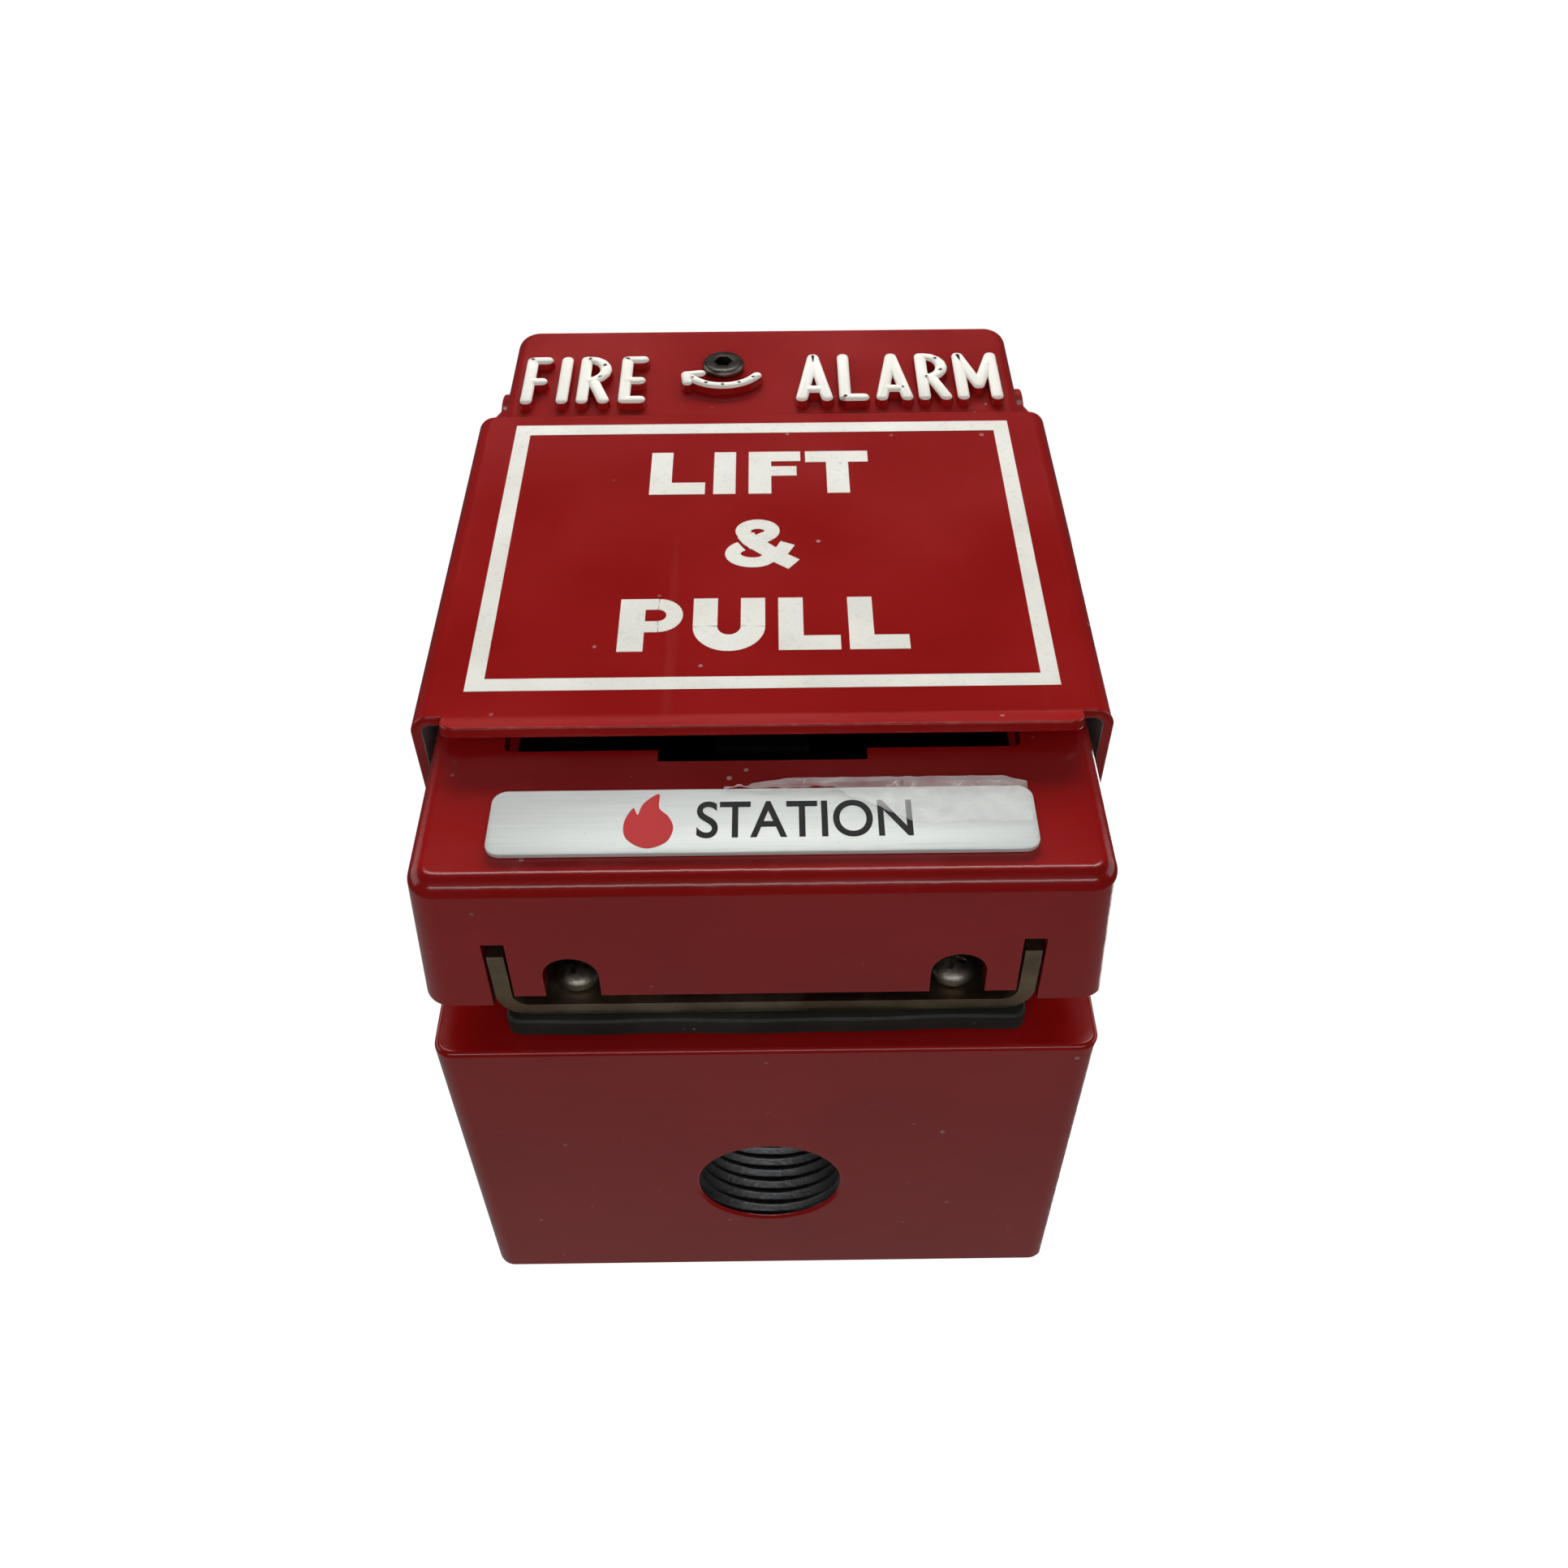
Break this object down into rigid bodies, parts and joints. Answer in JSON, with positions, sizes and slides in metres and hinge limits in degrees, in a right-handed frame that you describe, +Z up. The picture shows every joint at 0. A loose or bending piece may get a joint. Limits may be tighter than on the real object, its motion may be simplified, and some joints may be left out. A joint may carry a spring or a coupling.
{
  "type": "manual fire alarm station",
  "caption": "Red dual-action manual fire alarm station: cast hinged cover with a lift-up door over a pull handle, on a deep surface back box with a bottom conduit entry.",
  "frame": {"origin": "centre of the back box's flat rear face, on the wall", "axes": "+X to the right seen from the front, +Y into the wall, +Z up"},
  "size_m": [0.0858, 0.0884, 0.1264],
  "materials": {
    "red_enamel": "gloss red enamel over a zinc casting or steel sheet, with fine dust and small rubs",
    "zinc_steel": "bright zinc plated steel, slightly yellowed",
    "dark_steel": "blackened steel",
    "black_rubber": "dull black gasket rubber",
    "black_phenolic": "moulded black phenolic",
    "brass": "plain brass",
    "brushed_aluminium": "brushed aluminium sheet with a clear film",
    "cast_grey": "bare grey zinc casting",
    "green_steel": "green dyed steel earth screw",
    "red_wire": "red insulation",
    "black_wire": "black insulation"
  },
  "bodies": {
    "root": {"back_box": "red_enamel", "box_gasket": "black_rubber", "chassis": "zinc_steel", "lock_catch": "zinc_steel", "chassis_screw_1": "zinc_steel", "chassis_screw_2": "zinc_steel", "chassis_screw_3": "zinc_steel", "chassis_screw_4": "zinc_steel", "hinge_pin_left": "zinc_steel", "hinge_pin_right": "zinc_steel", "switch_body": "black_phenolic", "switch_bushing": "zinc_steel", "switch_nut": "zinc_steel", "switch_terminal_1": "brass", "switch_terminal_2": "brass", "switch_lead_1": "red_wire", "switch_lead_2": "black_wire", "terminal_block": "black_phenolic", "terminal_screw_1": "brass", "terminal_screw_2": "brass", "terminal_screw_3": "brass", "terminal_screw_4": "brass", "block_screw_1": "zinc_steel", "block_screw_2": "zinc_steel", "earth_screw": "green_steel"},
    "cover": {"front_cover": "red_enamel", "nameplate": "brushed_aluminium", "door_pin_left": "dark_steel", "door_pin_right": "dark_steel", "handle_pin": "zinc_steel"},
    "lock": {"lock_screw": "dark_steel", "lock_cam": "zinc_steel", "lock_nut": "zinc_steel"},
    "door": {"lift_door": "red_enamel"},
    "handle": {"pull_handle": "cast_grey"},
    "toggle": {"switch_toggle": "zinc_steel"}
  },
  "joints": [
    {"name": "cover_open", "type": "hinge", "parent": "root", "child": "cover", "pos_m": [0, -0.06965, -0.05552], "axis": [1, 0, 0], "range_deg": [0, 90]},
    {"name": "door_lift", "type": "hinge", "parent": "cover", "child": "door", "pos_m": [0, -0.07165, 0.05017], "axis": [-1, 0, 0], "range_deg": [0, 90]},
    {"name": "handle_pull", "type": "hinge", "parent": "cover", "child": "handle", "pos_m": [0, -0.07915, -0.04582], "axis": [1, 0, 0], "range_deg": [0, 25.01]},
    {"name": "lock_turn", "type": "hinge", "parent": "cover", "child": "lock", "pos_m": [-0.0061, -0.08515, 0.04648], "axis": [0, -1, 0], "range_deg": [0, 90]},
    {"name": "toggle_flip", "type": "hinge", "parent": "root", "child": "toggle", "pos_m": [0, -0.06615, -0.03782], "axis": [-1, 0, 0], "range_deg": [0, 25.01]}
  ],
  "couplings": [
    {"joint": "handle_pull", "follows": "door_lift", "ratio": 0.27778},
    {"joint": "toggle_flip", "follows": "door_lift", "ratio": 0.27778}
  ]
}
